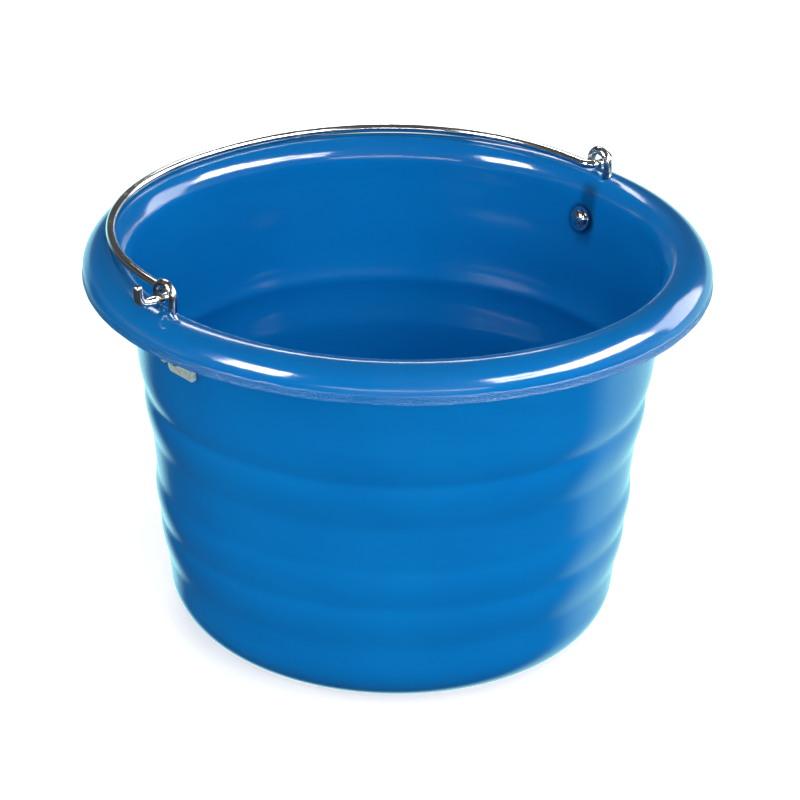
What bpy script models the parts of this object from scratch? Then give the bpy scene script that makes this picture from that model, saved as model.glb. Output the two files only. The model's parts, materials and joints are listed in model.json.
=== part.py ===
"""Feed bucket: a moulded plastic bucket with a rolled rim and a loose wire bail.

Frame: metres, +Z up, the origin at the middle of the underside. X is the bail's
pivot axis, and at rest the bail lies back over the rim towards +Y.
Each piece is one closed body in its own named object.
"""

import math

import bmesh
import bpy
from mathutils import Matrix, Vector

MM = 0.001
GAP = 0.3 * MM
ON_AXIS = 0.0001 * MM
SHARP_ANGLE = math.radians(40.0)

# Materials: base colour, roughness and metalness
BLUE_PLASTIC = ((0.003, 0.133, 0.423), 0.22, 0.0)
ZINC_PLATE = ((0.62, 0.63, 0.62), 0.34, 1.0)
BRIGHT_WIRE = ((0.70, 0.70, 0.69), 0.18, 1.0)

# Bucket shell; the lip's angles are in degrees round the rim's section, 90 at the crest
RIM_RADIUS = 215.0 * MM
CREST_Z = 283.0 * MM
SHELL_THICKNESS = 4.5 * MM
CREST_RADIUS = 195.0 * MM
RIM_DROP = 19.0 * MM
SKIRT_HEIGHT = 4.0 * MM
LIP_STANDOFF = 0.9 * MM
LIP_END = 168.0
LIP_UNDER_START = 105.0
LIP_UNDER_END = 165.0
RIM_TOP_STEPS = 8
RIM_UNDER_STEPS = 5
LIP_TOP_STEPS = 6
LIP_UNDER_STEPS = 3
BASE_CORNER_STEPS = 6
SHELL_STEPS = 48

# Outer wall: the depths below the crest and radii of its grooves, joined by straight lines
GROOVES = (
    (28.0 * MM, 184.6 * MM),
    (103.0 * MM, 171.9 * MM),
    (136.0 * MM, 168.2 * MM),
    (170.0 * MM, 164.8 * MM),
    (200.0 * MM, 162.1 * MM),
    (230.0 * MM, 157.8 * MM),
    (246.0 * MM, 156.0 * MM),
)
# Swelling on each of those lines: its height, where its peak lies along it, and its steps
SWELLINGS = (
    (2.4 * MM, 0.78, 6),
    (2.7 * MM, 0.38, 5),
    (0.0, 0.5, 1),
    (2.2 * MM, 0.40, 5),
    (1.9 * MM, 0.40, 5),
    (0.0, 0.5, 1),
)
BASE_CORNER_WIDTH = 42.0 * MM
BASE_CORNER_HEIGHT = 37.0 * MM
BASE_RECESS_RADIUS = 88.0 * MM
BASE_RECESS_DEPTH = 2.5 * MM

# Ears: a flat plate bolted outside the wall, with a rod eye standing through the rim
PLATE_WIDTH = 27.0 * MM
PLATE_Y = 1.0 * MM
PLATE_GAP = 0.5 * MM
PLATE_THICKNESS = 3.0 * MM
PLATE_ABOVE_BOLT = 14.0 * MM
PLATE_BELOW_BOLT = 17.0 * MM
PLATE_CORNER = 3.0 * MM
PLATE_CORNER_STEPS = 3
ROD_RADIUS = 3.0 * MM
ROD_FOOT_ABOVE_PLATE_END = 12.0 * MM
EYE_RADIUS = 8.6 * MM
ROD_Y = -1.5 * MM
ROD_HOLE_RADIUS = 3.6 * MM
ROD_ROUNDNESS = 3
EYE_TURN = math.radians(212.0)
EYE_STEPS = 16
EYE_PLANE_X = 192.5 * MM
EYE_ABOVE_CREST = 7.8 * MM
PIVOT_ABOVE_CREST = 6.4 * MM

# M6 fasteners
BOLT_Y = 8.5 * MM
BOLT_DEPTH = 33.5 * MM
BOLT_RADIUS = 2.9 * MM
HEAD_RADIUS = 6.2 * MM
HEAD_HEIGHT = 3.4 * MM
HEAD_BRIM = 0.6 * MM
HEAD_CROWN_START = -70.0
HEAD_STEPS = 5
SLOT_WIDTH = 1.6 * MM
SLOT_DEPTH = 1.6 * MM
SLOT_LENGTH = 20.0 * MM
SLOT_TURN = math.radians(55.0)
THREAD_CHAMFER = 0.5 * MM
WASHER_RADIUS = 9.0 * MM
WASHER_THICKNESS = 1.6 * MM
WASHER_CHAMFER = 0.25 * MM
SPRING_WASHER_RADIUS = 5.6 * MM
SPRING_WASHER_OPENING = math.radians(14.0)
SPRING_WASHER_STEPS = 22
HOLE_RADIUS = 3.3 * MM
NUT_ACROSS_FLATS = 10.0 * MM
NUT_HEIGHT = 5.0 * MM
BOLT_STICK_OUT = 1.2 * MM
FASTENER_STEPS = 18
HOLE_STEPS = 16
HOLE_REACH = 12.0 * MM

# Bail
WIRE_RADIUS = 3.2 * MM
BAIL_HALF_WIDTH = EYE_PLANE_X - EYE_RADIUS
BAIL_REACH = 188.0 * MM
BAIL_TILT = math.radians(0.85)
BAIL_SQUARENESS = 2.14
BAIL_STEPS = 44
HOOK_BEND = 6.0 * MM
BEND_STEPS = 6
HOOKS = {
    "left": {"side": -1, "run": 213.5 * MM, "tip": 12.9 * MM, "lean": math.radians(85.0)},
    "right": {"side": 1, "run": 204.5 * MM, "tip": 14.0 * MM, "lean": math.radians(14.4)},
}

PIVOT_Y = ROD_Y + EYE_RADIUS
PIVOT_Z = CREST_Z + PIVOT_ABOVE_CREST
WALL_LEAN = math.atan2(GROOVES[0][1] - GROOVES[1][1], GROOVES[1][0] - GROOVES[0][0])


def swelling(share, peak):
    """A smooth bump from 0 to 1 and back to 0 along a stretch, highest at the peak."""
    power = math.log(0.5) / math.log(peak)
    return math.sin(math.pi * share ** power)


def wall_points():
    """Points down the outer wall from under the rim to the base corner, as (depth, radius)."""
    points = [GROOVES[0]]
    for above, below, (height, peak, steps) in zip(GROOVES, GROOVES[1:], SWELLINGS):
        for step in range(1, steps + 1):
            share = step / steps
            depth = above[0] + (below[0] - above[0]) * share
            radius = above[1] + (below[1] - above[1]) * share
            points.append((depth, radius + height * swelling(share, peak)))
    return points


def wall_radius(depth):
    """The outer wall's radius at a depth on its topmost straight."""
    (top_depth, top_radius), (low_depth, low_radius) = GROOVES[:2]
    share = (depth - top_depth) / (low_depth - top_depth)
    return top_radius + (low_radius - top_radius) * share


def clear_scene():
    """Remove every object that is already in the scene."""
    for item in list(bpy.data.objects):
        bpy.data.objects.remove(item, do_unlink=True)


def material(name, color, roughness, metallic):
    """A Principled material with one base colour."""
    made = bpy.data.materials.new(name)
    made.use_nodes = True
    shader = made.node_tree.nodes["Principled BSDF"]
    shader.inputs["Base Color"].default_value = (*color, 1.0)
    shader.inputs["Roughness"].default_value = roughness
    shader.inputs["Metallic"].default_value = metallic
    return made


def mesh_object(name, mesh_data, surface):
    """Link a bmesh as a named object, shaded smooth except at sharp edges."""
    bmesh.ops.recalc_face_normals(mesh_data, faces=mesh_data.faces)
    mesh = bpy.data.meshes.new(name)
    mesh_data.to_mesh(mesh)
    mesh_data.free()
    mesh.shade_smooth()
    mesh.set_sharp_from_angle(angle=SHARP_ANGLE)
    if surface:
        mesh.materials.append(surface)
    made = bpy.data.objects.new(name, mesh)
    bpy.context.collection.objects.link(made)
    return made


def revolve(outline, steps, is_closed):
    """Turn an outline of (radius, height) points round Z; an open outline ends on the axis."""
    made = bmesh.new()
    rings = []
    for radius, height in outline:
        if radius < ON_AXIS:
            rings.append([made.verts.new((0.0, 0.0, height))])
            continue
        ring = []
        for step in range(steps):
            angle = math.tau * step / steps
            ring.append(made.verts.new((radius * math.cos(angle), radius * math.sin(angle), height)))
        rings.append(ring)
    pairs = list(zip(rings, rings[1:]))
    if is_closed:
        pairs.append((rings[-1], rings[0]))
    for upper, lower in pairs:
        for step in range(steps):
            after = (step + 1) % steps
            corners = [upper[step % len(upper)], upper[after % len(upper)]]
            corners += [lower[after % len(lower)], lower[step % len(lower)]]
            unique = list(dict.fromkeys(corners))
            made.faces.new(unique)
    return made


def arc(center, half_width, half_height, start, end, count):
    """Points along part of an ellipse, with the angles in degrees."""
    points = []
    for step in range(count + 1):
        angle = math.radians(start + (end - start) * step / count)
        points.append((
            center[0] + half_width * math.cos(angle),
            center[1] + half_height * math.sin(angle),
        ))
    return points


def shell_outline():
    """The closed half-section of the bucket, as (radius, height) points."""
    outer = [(radius, CREST_Z - depth) for depth, radius in wall_points()]
    rim_center = (CREST_RADIUS, CREST_Z - RIM_DROP)
    rim_width = RIM_RADIUS - CREST_RADIUS
    inner_wall = [(radius - SHELL_THICKNESS, height) for radius, height in outer]
    lip_width = CREST_RADIUS - inner_wall[0][0] - LIP_STANDOFF

    base_outer = arc((outer[-1][0] - BASE_CORNER_WIDTH, BASE_CORNER_HEIGHT),
                     BASE_CORNER_WIDTH, BASE_CORNER_HEIGHT, 0.0, -90.0, BASE_CORNER_STEPS)
    base_inner = arc((inner_wall[-1][0] - BASE_CORNER_WIDTH + SHELL_THICKNESS, BASE_CORNER_HEIGHT),
                     BASE_CORNER_WIDTH - SHELL_THICKNESS, BASE_CORNER_HEIGHT - SHELL_THICKNESS,
                     0.0, -90.0, BASE_CORNER_STEPS)
    rim_top = arc(rim_center, rim_width, RIM_DROP, 0.0, 90.0, RIM_TOP_STEPS)
    lip_top = arc(rim_center, lip_width, RIM_DROP, 90.0, LIP_END, LIP_TOP_STEPS)
    skirt_z = CREST_Z - RIM_DROP - SKIRT_HEIGHT
    under_drop = RIM_DROP - SHELL_THICKNESS
    rim_under = arc(rim_center, rim_width - SHELL_THICKNESS, under_drop, 0.0, 90.0, RIM_UNDER_STEPS)
    lip_under = arc(rim_center, CREST_RADIUS - outer[0][0] - LIP_STANDOFF, under_drop,
                    LIP_UNDER_START, LIP_UNDER_END, LIP_UNDER_STEPS)

    outline = [(0.0, BASE_RECESS_DEPTH), (BASE_RECESS_RADIUS, BASE_RECESS_DEPTH)]
    outline.append((BASE_RECESS_RADIUS + BASE_RECESS_DEPTH, 0.0))
    outline += base_outer[::-1]
    outline += outer[::-1]
    outline += lip_under[::-1]
    outline += rim_under[::-1]
    outline.append((RIM_RADIUS - SHELL_THICKNESS, skirt_z))
    outline.append((RIM_RADIUS, skirt_z))
    outline += rim_top
    outline += lip_top[1:]
    outline += inner_wall
    outline += base_inner
    outline.append((BASE_RECESS_RADIUS, BASE_RECESS_DEPTH + SHELL_THICKNESS))
    outline.append((0.0, BASE_RECESS_DEPTH + SHELL_THICKNESS))
    return outline


def bolt_frame(side):
    """The bolt line's frame: local Z points out through the wall, local X up along it."""
    outward = Vector((side * math.cos(WALL_LEAN), 0.0, -math.sin(WALL_LEAN)))
    upward = Vector((side * math.sin(WALL_LEAN), 0.0, math.cos(WALL_LEAN)))
    across = outward.cross(upward)
    start = Vector((side * wall_radius(BOLT_DEPTH), BOLT_Y, CREST_Z - BOLT_DEPTH))
    frame = Matrix((upward, across, outward)).transposed().to_4x4()
    frame.translation = start
    return frame


def cutter(name, outline, frame):
    """A turned cutting body that the build leaves out."""
    made = mesh_object(name, revolve(outline, HOLE_STEPS, False), None)
    made.matrix_world = frame
    made.hide_render = True
    made.display_type = "WIRE"
    return made


def cylinder_outline(radius, low, high):
    """A plain cylinder's outline from the lower to the upper face."""
    return [(0.0, low), (radius, low), (radius, high), (0.0, high)]


def cut(target, tool):
    """Take the tool away from the target."""
    change = target.modifiers.new("cut_" + tool.name, "BOOLEAN")
    change.operation = "DIFFERENCE"
    change.solver = "EXACT"
    change.object = tool


def make_shell(plastic):
    """The bucket: one moulded shell with holes for the two rods and the two bolts."""
    shell = mesh_object("bucket_shell", revolve(shell_outline(), SHELL_STEPS, False), plastic)
    for name, side in (("left", -1), ("right", 1)):
        rod_frame = Matrix.Translation((side * EYE_PLANE_X, ROD_Y, CREST_Z))
        rod_hole = cylinder_outline(ROD_HOLE_RADIUS, -HOLE_REACH, HOLE_REACH)
        bolt_hole = cylinder_outline(HOLE_RADIUS, -HOLE_REACH, HOLE_REACH)
        cut(shell, cutter(name + "_rod_hole", rod_hole, rod_frame))
        cut(shell, cutter(name + "_bolt_hole", bolt_hole, bolt_frame(side)))


def make_plate(name, side, steel):
    """The flat ear plate, against the outside of the wall, with the bolt's hole."""
    made = bmesh.new()
    bmesh.ops.create_cube(made, size=1.0)
    length = PLATE_ABOVE_BOLT + PLATE_BELOW_BOLT
    middle = (PLATE_ABOVE_BOLT - PLATE_BELOW_BOLT) / 2.0
    bmesh.ops.scale(made, vec=(length, PLATE_WIDTH, PLATE_THICKNESS), verts=made.verts)
    bmesh.ops.translate(made, vec=(middle, 0.0, PLATE_GAP + PLATE_THICKNESS / 2.0), verts=made.verts)
    long_edges = [edge for edge in made.edges
                  if abs(edge.verts[0].co.z - edge.verts[1].co.z) > PLATE_THICKNESS / 2.0]
    bmesh.ops.bevel(made, geom=long_edges, offset=PLATE_CORNER, segments=PLATE_CORNER_STEPS,
                    profile=0.5, affect="EDGES", clamp_overlap=True)
    frame = bolt_frame(side)
    centered = frame.copy()
    centered.translation.y = PLATE_Y
    plate = mesh_object(name + "_ear_plate", made, steel)
    plate.matrix_world = centered
    plate_hole = cylinder_outline(HOLE_RADIUS, -HOLE_REACH, HOLE_REACH)
    cut(plate, cutter(name + "_plate_hole", plate_hole, frame))


def rod_path(side):
    """The ear rod's centre line: up the plate, through the rim and round the eye."""
    frame = bolt_frame(side)
    lift = PLATE_GAP + PLATE_THICKNESS + GAP + ROD_RADIUS
    foot = frame @ Vector((-PLATE_BELOW_BOLT + ROD_FOOT_ABOVE_PLATE_END, 0.0, lift))
    shoulder = frame @ Vector((PLATE_ABOVE_BOLT, 0.0, lift))
    points = [Vector((foot.x, ROD_Y, foot.z))]
    points.append(Vector((shoulder.x, ROD_Y, shoulder.z)))
    for step in range(EYE_STEPS + 1):
        angle = math.pi - EYE_TURN * step / EYE_STEPS
        points.append(Vector((
            side * EYE_PLANE_X,
            PIVOT_Y + EYE_RADIUS * math.cos(angle),
            CREST_Z + EYE_ABOVE_CREST + EYE_RADIUS * math.sin(angle),
        )))
    return points


def rod(name, points, radius, origin, surface):
    """A round rod along a path, as a curve with filled ends and its origin where given."""
    curve = bpy.data.curves.new(name, "CURVE")
    curve.dimensions = "3D"
    curve.bevel_depth = radius
    curve.bevel_resolution = ROD_ROUNDNESS
    curve.use_fill_caps = True
    spline = curve.splines.new("POLY")
    spline.points.add(len(points) - 1)
    for point, place in zip(spline.points, points):
        point.co = (*(place - origin), 1.0)
    spline.use_smooth = True
    curve.materials.append(surface)
    made = bpy.data.objects.new(name, curve)
    made.location = origin
    bpy.context.collection.objects.link(made)


def make_bolt(name, side, steel):
    """Slotted mushroom-head bolt, its head inside the bucket."""
    frame = bolt_frame(side)
    seat = -SHELL_THICKNESS - washer_setback() - WASHER_THICKNESS - GAP
    end = PLATE_GAP + PLATE_THICKNESS + GAP + WASHER_THICKNESS + GAP + NUT_HEIGHT + BOLT_STICK_OUT
    outline = [(0.0, seat - HEAD_HEIGHT)]
    outline += arc((0.0, seat - HEAD_BRIM), HEAD_RADIUS, HEAD_HEIGHT - HEAD_BRIM,
                   HEAD_CROWN_START, 0.0, HEAD_STEPS)
    outline.append((HEAD_RADIUS, seat))
    outline.append((BOLT_RADIUS, seat))
    outline.append((BOLT_RADIUS, end - THREAD_CHAMFER))
    outline.append((BOLT_RADIUS - THREAD_CHAMFER, end))
    outline.append((0.0, end))
    bolt = mesh_object(name + "_bolt", revolve(outline, FASTENER_STEPS, False), steel)
    bolt.matrix_world = frame
    slot = bmesh.new()
    bmesh.ops.create_cube(slot, size=1.0)
    bmesh.ops.scale(slot, vec=(SLOT_WIDTH, SLOT_LENGTH, 2.0 * SLOT_DEPTH), verts=slot.verts)
    turn = Matrix.Rotation(side * SLOT_TURN, 4, "Z")
    tool = mesh_object(name + "_slot_cutter", slot, None)
    tool.matrix_world = frame @ Matrix.Translation((0.0, 0.0, seat - HEAD_HEIGHT)) @ turn
    tool.hide_render = True
    tool.display_type = "WIRE"
    cut(bolt, tool)


def washer_setback():
    """How far a flat washer stands off the curved inner wall so that its rim clears it."""
    inner = wall_radius(BOLT_DEPTH) - SHELL_THICKNESS
    reach = BOLT_Y + WASHER_RADIUS
    sagitta = inner - math.sqrt(inner ** 2 - reach ** 2)
    facet = inner * (1.0 - math.cos(math.pi / SHELL_STEPS))
    return sagitta + facet + GAP


def make_ring(name, frame, inner, outer, low, high, steel):
    """A flat ring between two radii, with a small chamfer on its outer edges."""
    outline = [(inner, low), (outer - WASHER_CHAMFER, low), (outer, low + WASHER_CHAMFER)]
    outline += [(outer, high - WASHER_CHAMFER), (outer - WASHER_CHAMFER, high), (inner, high)]
    ring = mesh_object(name, revolve(outline, FASTENER_STEPS, True), steel)
    ring.matrix_world = frame


def make_spring_washer(name, frame, low, steel):
    """A split lock washer: a flat ring with a narrow straight gap."""
    made = bmesh.new()
    inner = BOLT_RADIUS + GAP
    turn = math.tau - SPRING_WASHER_OPENING
    corners = ((inner, 0.0), (SPRING_WASHER_RADIUS, 0.0),
               (SPRING_WASHER_RADIUS, WASHER_THICKNESS), (inner, WASHER_THICKNESS))
    sections = []
    for step in range(SPRING_WASHER_STEPS + 1):
        angle = SPRING_WASHER_OPENING / 2.0 + turn * step / SPRING_WASHER_STEPS
        section = []
        for radius, height in corners:
            place = (radius * math.cos(angle), radius * math.sin(angle), low + height)
            section.append(made.verts.new(place))
        sections.append(section)
    for before, after in zip(sections, sections[1:]):
        for corner in range(len(corners)):
            follow = (corner + 1) % len(corners)
            made.faces.new((before[corner], before[follow], after[follow], after[corner]))
    made.faces.new(sections[0])
    made.faces.new(sections[-1][::-1])
    ring = mesh_object(name, made, steel)
    ring.matrix_world = frame


def make_nut(name, frame, low, steel):
    """A hexagon nut with a plain bore."""
    made = bmesh.new()
    corner = NUT_ACROSS_FLATS / 2.0 / math.cos(math.pi / 6.0)
    rings = []
    for radius, height, is_hexagon in ((BOLT_RADIUS + GAP, low, False), (corner, low, True),
                                       (corner, low + NUT_HEIGHT, True),
                                       (BOLT_RADIUS + GAP, low + NUT_HEIGHT, False)):
        ring = []
        for step in range(FASTENER_STEPS):
            angle = math.tau * step / FASTENER_STEPS
            reach = radius
            if is_hexagon:
                inside = angle % (math.pi / 3.0) - math.pi / 6.0
                reach = radius * math.cos(math.pi / 6.0) / math.cos(inside)
            ring.append(made.verts.new((reach * math.cos(angle), reach * math.sin(angle), height)))
        rings.append(ring)
    for first, second in zip(rings, rings[1:] + rings[:1]):
        for step in range(FASTENER_STEPS):
            after = (step + 1) % FASTENER_STEPS
            made.faces.new((first[step], first[after], second[after], second[step]))
    nut = mesh_object(name, made, steel)
    nut.matrix_world = frame


def make_ear(name, side, steel):
    """One side's ear: plate, rod eye, bolt, inner washer, spring washer and nut."""
    frame = bolt_frame(side)
    make_plate(name, side, steel)
    eye_origin = Vector((side * EYE_PLANE_X, PIVOT_Y, PIVOT_Z))
    rod(name + "_ear_eye", rod_path(side), ROD_RADIUS, eye_origin, steel)
    make_bolt(name, side, steel)
    washer_low = -SHELL_THICKNESS - washer_setback() - WASHER_THICKNESS
    make_ring(name + "_inner_washer", frame, HOLE_RADIUS, WASHER_RADIUS, washer_low,
              washer_low + WASHER_THICKNESS, steel)
    spring_low = PLATE_GAP + PLATE_THICKNESS + GAP
    make_spring_washer(name + "_spring_washer", frame, spring_low, steel)
    make_nut(name + "_nut", frame, spring_low + WASHER_THICKNESS + GAP, steel)


def hook_path(hook):
    """One end of the bail in its own plane, from the tip inwards through the eye.

    The plane's first axis is X and its second runs along the bail; the third is its normal.
    """
    side = hook["side"]
    lean = Vector((0.0, math.cos(hook["lean"]), math.sin(hook["lean"])))
    corner = Vector((side * hook["run"], 0.0, 0.0))
    points = [corner + lean * hook["tip"]]
    for step in range(BEND_STEPS + 1):
        angle = math.pi / 2.0 * step / BEND_STEPS
        inward = HOOK_BEND * (1.0 - math.sin(angle))
        along = HOOK_BEND * (1.0 - math.cos(angle))
        points.append(corner + lean * inward - Vector((side * along, 0.0, 0.0)))
    bend_center = Vector((side * (BAIL_HALF_WIDTH + EYE_RADIUS), EYE_RADIUS, 0.0))
    for step in range(BEND_STEPS + 1):
        angle = math.pi / 2.0 * step / BEND_STEPS
        points.append(bend_center + EYE_RADIUS * Vector((-side * math.sin(angle), -math.cos(angle), 0.0)))
    return points


def bail_path():
    """The bail's centre line in world space, from the left tip to the right tip."""
    points = hook_path(HOOKS["left"])
    for step in range(1, BAIL_STEPS):
        angle = math.pi * step / BAIL_STEPS
        across = abs(math.cos(angle)) ** (2.0 / BAIL_SQUARENESS)
        along = math.sin(angle) ** (2.0 / BAIL_SQUARENESS)
        points.append(Vector((
            -math.copysign(BAIL_HALF_WIDTH * across, math.cos(angle)),
            EYE_RADIUS + (BAIL_REACH - EYE_RADIUS) * along,
            0.0,
        )))
    points += hook_path(HOOKS["right"])[::-1]
    tilt = Matrix.Rotation(-BAIL_TILT, 4, "X")
    lift = Vector((0.0, PIVOT_Y, PIVOT_Z))
    return [tilt @ point + lift for point in points]


def build():
    """Make every piece."""
    clear_scene()
    plastic = material("blue_plastic", *BLUE_PLASTIC)
    zinc = material("zinc_plate", *ZINC_PLATE)
    wire = material("bright_wire", *BRIGHT_WIRE)
    make_shell(plastic)
    for name, side in (("left", -1), ("right", 1)):
        make_ear(name, side, zinc)
    rod("bail_handle", bail_path(), WIRE_RADIUS, Vector((0.0, PIVOT_Y, PIVOT_Z)), wire)


build()
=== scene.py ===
"""Feed bucket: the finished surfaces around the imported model.

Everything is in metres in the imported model's frame: +Z up, X along the bail's pivot line,
and +Y towards the side that the bail lies on at rest.
"""
import json
import math

import bmesh
import bpy
import numpy as np
from mathutils import Matrix, Vector, noise


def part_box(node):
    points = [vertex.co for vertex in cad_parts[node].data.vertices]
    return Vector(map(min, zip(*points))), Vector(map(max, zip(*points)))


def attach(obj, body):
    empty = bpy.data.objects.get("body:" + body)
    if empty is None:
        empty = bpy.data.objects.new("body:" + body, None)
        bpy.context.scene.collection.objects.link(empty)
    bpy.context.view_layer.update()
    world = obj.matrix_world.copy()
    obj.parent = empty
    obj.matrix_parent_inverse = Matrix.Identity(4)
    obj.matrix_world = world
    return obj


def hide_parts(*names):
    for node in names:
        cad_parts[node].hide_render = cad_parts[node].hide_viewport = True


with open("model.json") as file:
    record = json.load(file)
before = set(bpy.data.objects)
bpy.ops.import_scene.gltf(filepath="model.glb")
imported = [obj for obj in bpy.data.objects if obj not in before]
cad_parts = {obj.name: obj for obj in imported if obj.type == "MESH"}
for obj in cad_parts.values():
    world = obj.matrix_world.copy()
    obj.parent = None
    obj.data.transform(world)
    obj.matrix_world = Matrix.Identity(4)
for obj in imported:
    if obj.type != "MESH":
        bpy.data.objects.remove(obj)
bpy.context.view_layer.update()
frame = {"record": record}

MM = 0.001

# Bucket shell: the overall sizes come from the frame
SHELL_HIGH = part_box("bucket_shell")[1]
RIM_RADIUS = SHELL_HIGH[0]
CREST_Z = SHELL_HIGH[2]
SHELL_THICKNESS = 4.5 * MM
CREST_RADIUS = 195.0 * MM
RIM_DROP = 19.0 * MM
SKIRT_HEIGHT = 4.0 * MM
SKIRT_EDGE = 0.8 * MM
SKIRT_Z = CREST_Z - RIM_DROP - SKIRT_HEIGHT
BAND_HEIGHT = 7.0 * MM
BAND_TOP = SKIRT_Z + BAND_HEIGHT
BAND_STEP = 0.45 * MM
BAND_LEVELS = (0.4, 0.6, 0.85)
BEAD_HEIGHT = 1.1 * MM
BEAD_SHOULDER = 1.6 * BEAD_HEIGHT
LIP_STANDOFF = 0.9 * MM
CREASE_RADIUS = 189.0 * MM
CREASE_WIDTH = 2.6 * MM
CREASE_DEPTH = 0.45 * MM
SHELL_STEPS = 192
CAD_SHELL_STEPS = 48
WALL_SPACING = 2.1 * MM
SOFTENING_PASSES = 2

# Where the rolled rim's curves start and end, in degrees from straight outwards, and their steps
LIP_END = 168.0
LIP_UNDER_START = 165.0
LIP_UNDER_END = 105.0
RIM_TOP_STEPS = 32
RIM_UNDER_STEPS = 20
LIP_TOP_STEPS = 28
LIP_UNDER_STEPS = 12

# The trimmed edge under the rim: its waves and finer chips, each with a frequency per metre and a depth
TRIM_REACH = 0.7 * BAND_HEIGHT
TRIM_WAVES = (70.0, 0.9 * MM)
TRIM_CHIPS = (210.0, 0.35 * MM)

# Outer wall: the depths below the crest and radii of its grooves, joined by straight lines
GROOVES = (
    (28.0 * MM, 184.6 * MM),
    (103.0 * MM, 171.9 * MM),
    (136.0 * MM, 168.2 * MM),
    (170.0 * MM, 164.8 * MM),
    (200.0 * MM, 162.1 * MM),
    (230.0 * MM, 157.8 * MM),
    (246.0 * MM, 156.0 * MM),
)
# Swelling on each of those lines: its height and where its peak lies along it
SWELLINGS = (
    (2.4 * MM, 0.78),
    (2.7 * MM, 0.38),
    (0.0, 0.5),
    (2.2 * MM, 0.40),
    (1.9 * MM, 0.40),
    (0.0, 0.5),
)
SWELLING_STEPS = 24
BASE_CORNER_WIDTH = 42.0 * MM
BASE_CORNER_HEIGHT = 37.0 * MM
BASE_CORNER_STEPS = 32
BASE_RECESS_RADIUS = 88.0 * MM
BASE_RECESS_DEPTH = 2.5 * MM

# Ears
GAP = 0.3 * MM
PLATE_WIDTH = 27.0 * MM
PLATE_Y = 1.0 * MM
PLATE_GAP = 0.5 * MM
PLATE_THICKNESS = 3.0 * MM
PLATE_ABOVE_BOLT = 14.0 * MM
PLATE_BELOW_BOLT = 17.0 * MM
PLATE_CORNER = 3.0 * MM
PLATE_CORNER_STEPS = 8
PLATE_EDGE = 0.35 * MM
PLATE_EDGE_STEPS = 2
ROD_RADIUS = 3.0 * MM
ROD_FOOT_ABOVE_PLATE_END = 12.0 * MM
ROD_Y = -1.5 * MM
ROD_HOLE_RADIUS = 3.6 * MM
ROD_SPACING = 0.6 * MM
ROD_SOFTENING_PASSES = 8
ROD_END_ROUND = 0.35
EYE_RADIUS = 8.6 * MM
EYE_TURN = math.radians(212.0)
EYE_STEPS = 60
EYE_PLANE_X = 192.5 * MM
EYE_ABOVE_CREST = 7.8 * MM
WELD_RADIUS = 1.1 * MM
WELD_RIPPLE = 0.22 * MM
WELD_PITCH = 2.2 * MM
WELD_LIFT = 0.8 * WELD_RADIUS
WELD_OVERLAP = 0.2 * WELD_RADIUS
WELD_SPAN = (0.04, 0.93)
WELD_SPACING = 0.25 * MM
WELD_SIDES = 14
WELD_END_ROUND = 0.6

# M6 fasteners
BOLT_Y = 8.5 * MM
BOLT_DEPTH = 33.5 * MM
BOLT_RADIUS = 2.9 * MM
THREAD_DEPTH = 0.3 * MM
THREAD_PITCH = 1.0 * MM
THREAD_CREST = 0.15 * THREAD_PITCH
THREAD_ROOT = 0.35 * THREAD_PITCH
HEAD_RADIUS = 6.2 * MM
HEAD_HEIGHT = 3.4 * MM
HEAD_BRIM = 0.6 * MM
HEAD_CHAMFER = 0.1 * MM
HEAD_CROWN_START = -86.0
HEAD_STEPS = 20
SLOT_WIDTH = 1.6 * MM
SLOT_DEPTH = 1.6 * MM
SLOT_LENGTH = 20.0 * MM
SLOT_TURN = math.radians(55.0)
WASHER_RADIUS = 9.0 * MM
WASHER_THICKNESS = 1.6 * MM
WASHER_CHAMFER = 0.25 * MM
SPRING_WASHER_RADIUS = 5.6 * MM
SPRING_WASHER_CHAMFER = 0.2 * MM
SPRING_WASHER_OPENING = math.radians(14.0)
HOLE_RADIUS = 3.3 * MM
HOLE_REACH = 12.0 * MM
NUT_ACROSS_FLATS = 10.0 * MM
NUT_HEIGHT = 5.0 * MM
NUT_CHAMFER = 0.75 * MM
NUT_CHAMFER_STEPS = 5
NUT_FACE_SHARE = 0.96
BOLT_STICK_OUT = 1.2 * MM
FASTENER_STEPS = 72
HOLE_STEPS = 40

# Edges sharper than these many degrees stay crisp
SHARP_ANGLE = 40.0
WELD_SHARP_ANGLE = 80.0
WASHER_SHARP_ANGLE = 30.0
NUT_SHARP_ANGLE = 25.0

# A point with a smaller radius than this lies on the axis
ON_AXIS = 1e-7

# Bail
WIRE_RADIUS = 3.2 * MM
BAIL_HALF_WIDTH = EYE_PLANE_X - EYE_RADIUS
BAIL_REACH = 188.0 * MM
BAIL_TILT = math.radians(0.85)
BAIL_SQUARENESS = 2.14
BAIL_STEPS = 400
HOOK_BEND = 6.0 * MM
BEND_STEPS = 24
WIRE_SPACING = 1.1 * MM
WIRE_SOFTENING_PASSES = 3
WIRE_SIDES = 24
WIRE_END_ROUND = 0.18
HOOKS = {
    "left": {"side": -1, "run": 213.5 * MM, "tip": 12.9 * MM, "lean": math.radians(85.0)},
    "right": {"side": 1, "run": 204.5 * MM, "tip": 14.0 * MM, "lean": math.radians(14.4)},
}

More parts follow.
